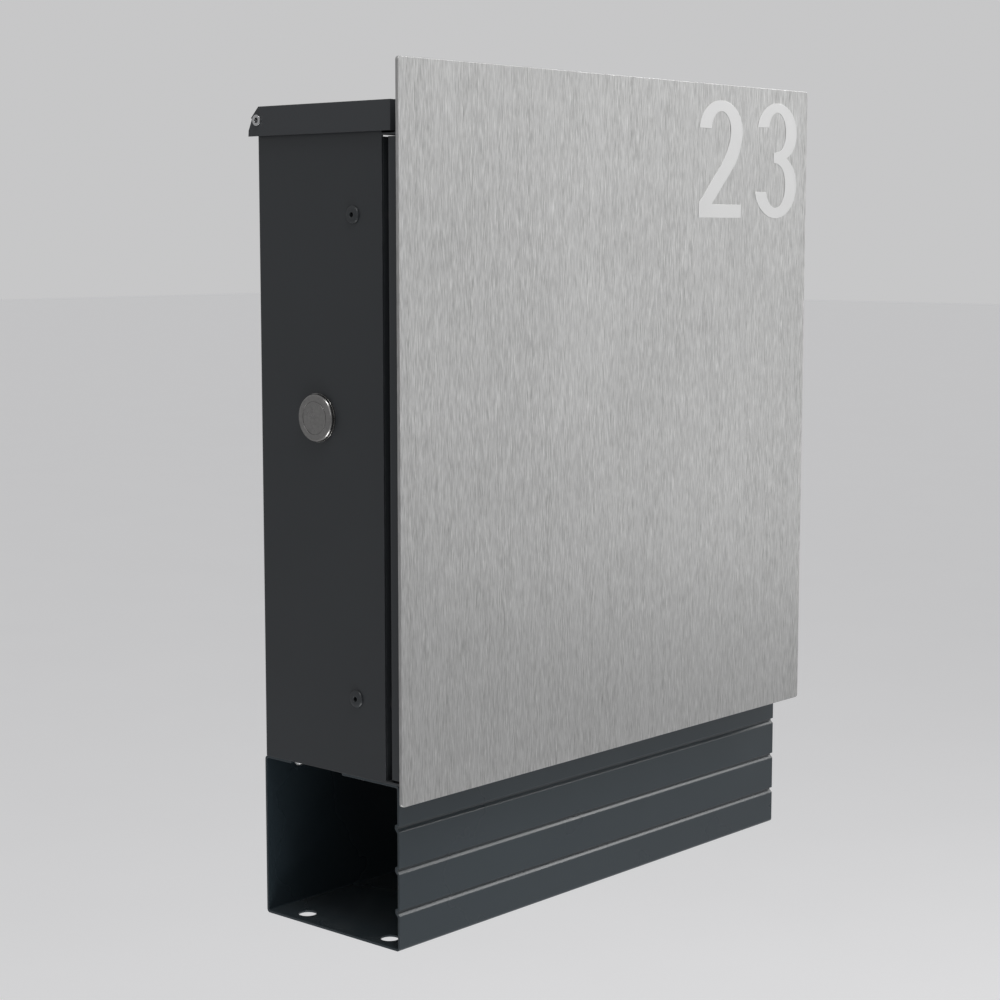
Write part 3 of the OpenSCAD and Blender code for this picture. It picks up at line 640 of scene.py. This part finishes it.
# %% [markdown]
# ## The polished rim of the lock
#
# The face of the weather cap is satin, and its rounded rim is polished and catches small
# sharp lights. A second material on the rim's faces would end in a hard line. The distance
# from the cap's axis says where the rim begins, and the roughness falls there smoothly.

# %% Polish the rim of the lock
tree = satin_nickel.node_tree
shader = tree.nodes["Principled BSDF"]
satin_gloss = shader.inputs["Roughness"].links[0].from_socket
spot = place(tree, "ShaderNodeTexCoord").outputs["Object"]
from_axis = place(tree, "ShaderNodeVectorMath", {"operation": "SUBTRACT"}, i0=spot, i1=cap_middle)
across = place(tree, "ShaderNodeVectorMath", {"operation": "MULTIPLY"},
               i0=from_axis.outputs[0], i1=(0, 1, 1))
radius = place(tree, "ShaderNodeVectorMath", {"operation": "LENGTH"}, i0=across.outputs[0]).outputs["Value"]
rim_from, rim_to = ((cap_radius - cap_round + reach) / 1000 for reach in (-0.1, 0.3))
rim_share = spread(tree, radius, 0.0, 1.0, rim_from, rim_to)
rim_gloss = place(tree, "ShaderNodeMix", {"data_type": "FLOAT"}, i0=rim_share, i2=satin_gloss, i3=0.2)
tree.links.new(rim_gloss.outputs[0], shader.inputs["Roughness"])
print("rim polished outside", cap_radius - cap_round, "mm")

# %% The other small metals
dark_zinc = metal_finish("dark_die_cast_zinc", (0.24, 0.24, 0.235), (0.36, 0.355, 0.345), (0.55, 0.54, 0.53),
                         0.38, (700.0, 700.0, 200.0), 900.0, 0.25)
zinc_plate = metal_finish("zinc_plated_steel", (0.50, 0.51, 0.52), (0.66, 0.67, 0.67), (0.78, 0.78, 0.77),
                          0.33, (500.0, 500.0, 500.0), 420.0, 0.22)
turned_stainless = metal_finish("turned_stainless", (0.48, 0.48, 0.475), (0.63, 0.63, 0.62),
                                (0.78, 0.78, 0.77), 0.27, (1800.0, 260.0, 1800.0), 1300.0, 0.18)
aluminium = metal_finish("rivet_aluminium", (0.62, 0.625, 0.63), (0.78, 0.785, 0.79), (0.88, 0.88, 0.88),
                         0.32, (1400.0, 1400.0, 1400.0), 1600.0, 0.15)

# %% [markdown]
# ## Nylon, rubber and number film
#
# The washers are moulded nylon, the buffers and spacers are black rubber, and the digits are
# cut from pale matt film. None of them is metal, so light enters them a little or dies on
# them, and their grain is softer. One recipe takes two shades, a gloss and a grain size.

# %% A recipe for moulded and cut plastics
def plastic_finish(name, dark, pale, edge_colour, gloss, grain_scale, depth, dust_amount):
    """A plastic with a fine grain, drifting shade, soft edges and a little dust"""
    material, tree, shader, spot, ends = start_finish(name, 0.0003, 250.0)
    grain = use(tree, fine_grain, Place=spot, Scale=grain_scale, Cloud_Scale=grain_scale / 30)
    dusty = use(tree, dust, Place=spot, Amount=dust_amount)
    shade = blend_colours(tree, grain.outputs["Cloud"], dark, pale)
    rubbed = blend_colours(tree, spread(tree, ends.outputs["Mask"], 0.0, 0.4), shade, edge_colour)
    dusted = blend_colours(tree, dusty.outputs["Mask"], rubbed, (0.42, 0.41, 0.39))
    tree.links.new(dusted, shader.inputs["Base Color"])
    vary_gloss(tree, shader, grain.outputs["Cloud"], gloss - 0.06, gloss + 0.06)
    bump(tree, shader, grain.outputs["Height"], depth, 0.0001, ends.outputs["Normal"])
    print("finish:", material.name)
    return material


white_nylon = plastic_finish("natural_nylon", (0.70, 0.69, 0.64), (0.80, 0.79, 0.75), (0.85, 0.85, 0.82),
                             0.42, 700.0, 0.10, 0.05)
black_rubber = plastic_finish("black_rubber", (0.014, 0.014, 0.015), (0.026, 0.026, 0.027),
                              (0.07, 0.07, 0.07), 0.72, 1500.0, 0.35, 0.30)
number_film = plastic_finish("silver_number_film", (0.63, 0.63, 0.626), (0.70, 0.70, 0.696),
                             (0.88, 0.88, 0.875), 0.50, 1800.0, 0.08, 0.0)
number_film.node_tree.nodes["Principled BSDF"].inputs["Metallic"].default_value = 0.8

# %% [markdown]
# ## Giving every part its finish
#
# The engineering record says which finish each part takes. A table from its names to the
# materials above is enough: the loaded parts get theirs on their own slots, and the pieces
# modelled here by the name that they were settled with.

# %% Hang each finish on its parts
finishes = {
    "dark_paint": paint, "brushed_panel": brushed, "lock_metal": satin_nickel, "lock_inner": dark_zinc,
    "zinc_steel": zinc_plate, "stainless_fasteners": turned_stainless, "rivet_metal": aluminium,
    "nylon": white_nylon, "black_rubber": black_rubber, "number_film": number_film}


def coat(piece, material):
    """Puts one material on a piece"""
    if piece.material_slots:
        for slot in piece.material_slots:
            slot.material = material
    else:
        piece.data.materials.append(material)


coated = 0
for part in frame["record"]["subparts"]:
    coat(nodes[part["node"]], finishes[part["material_slot"]])
    coated += 1
for piece in [o for o in bpy.data.objects if o.type == "MESH" and o.get("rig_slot")]:
    coat(piece, finishes[piece["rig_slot"]])
    coated += 1
# The lid takes the paler copy of the paint: painted light for the brighter top of the box.
coat(nodes["lid"], lid_paint_painted_lighter)
coat(newspaper_tray, holder_paint)
print("pieces coated:", coated)

# %% [markdown]
# ## Floor, light and camera
#
# The mailbox hangs above a plain pale studio floor in a pale room. The largest soft light
# stands far to the right in front and gives the panel its slow fade from top to bottom. A
# second one, higher, and a small spot in front of it run along the lips of the grooves. A
# strip overhead and a weak one near the floor put the two bright marks on the rim of the
# lock, and the last lifts the shaded side a little. The camera sees the floor and the room
# slightly brighter than they light the mailbox, so that dark paint stands out against them.
# It stands left of the front, slightly above the middle.

# %% Lay the pale floor
bpy.ops.object.select_all(action="DESELECT")
floor_width, floor_height = 60, -0.95
bpy.ops.mesh.primitive_plane_add(size=floor_width, location=(0, 0, floor_height))
studio_floor = bpy.context.object
studio_floor.name = "studio_floor"
floor_paint = bpy.data.materials.new("pale_floor")
floor_paint.use_nodes = True
tree = floor_paint.node_tree
shader = tree.nodes["Principled BSDF"]
floor_spot = place(tree, "ShaderNodeTexCoord").outputs["Object"]
floor_cloud = noise(tree, floor_spot, 3.0, 3.0, 0.5)
floor_shade = blend_colours(tree, floor_cloud, (0.74, 0.74, 0.745), (0.78, 0.78, 0.785))
tree.links.new(floor_shade, shader.inputs["Base Color"])
shader.inputs["Roughness"].default_value = 0.9
shader.inputs["Emission Color"].default_value = (0.25, 0.25, 0.252, 1)
seen = place(tree, "ShaderNodeLightPath").outputs["Is Camera Ray"]
tree.links.new(seen, shader.inputs["Emission Strength"])
studio_floor.data.materials.append(floor_paint)
print("floor at", floor_height)

# %% Light the room
world = bpy.data.worlds.new("pale_room")
bpy.context.scene.world = world
world.use_nodes = True
tree = world.node_tree
room = tree.nodes["Background"]
seen = place(tree, "ShaderNodeLightPath").outputs["Is Camera Ray"]
tree.links.new(blend_colours(tree, seen, (0.375, 0.375, 0.38), (0.57, 0.57, 0.575)), room.inputs[0])
room.inputs[1].default_value = 1.0


def soft_light(name, stand_at, aim, size, power):
    """A soft light that looks at a point"""
    lamp = bpy.data.lights.new(name, "AREA")
    lamp.shape = "RECTANGLE"
    lamp.size, lamp.size_y = size
    lamp.energy = power
    stand = bpy.data.objects.new(name, lamp)
    bpy.context.scene.collection.objects.link(stand)
    stand.visible_camera = False
    stand.location = stand_at
    stand.rotation_euler = (Vector(aim) - Vector(stand_at)).to_track_quat("-Z", "Y").to_euler()


soft_light("front_softbox", (2.4, -1.6, 0.38), (0, -0.1, 0.1), (2.6, 2.1), 14)
soft_light("high_softbox", (1.56, -0.71, 1.03), (0, -0.12, -0.23), (0.9, 0.5), 7)
soft_light("lip_spot", (1.55, -1.10, 1.12), (0, -0.12, -0.2), (0.35, 0.35), 3.5)
soft_light("overhead_strip", (-0.45, -0.75, 1.6), (-0.18, -0.05, 0), (0.8, 0.6), 14)
soft_light("floor_bounce", (-0.32, -0.28, -0.93), (-0.18, -0.05, 0), (0.6, 0.6), 7)
soft_light("side_softbox", (-0.62, -0.50, 0.38), (-0.18, -0.1, 0.0), (0.2, 0.5), 0.3)

# %% Set up the camera
camera_data = bpy.data.cameras.new("camera")
camera_data.lens, camera_data.sensor_width = 77.32, 36
camera_data.clip_end = 100
camera = bpy.data.objects.new("camera", camera_data)
bpy.context.scene.collection.objects.link(camera)
camera_tilt, camera_turn = math.radians(83.02), math.radians(-48.359)
camera.location = (-0.9737, -0.8925, 0.1104)
camera.rotation_euler = (camera_tilt, 0, camera_turn)
bpy.context.scene.camera = camera
bpy.context.scene.view_settings.view_transform = "Standard"
print("camera at", tuple(camera.location))
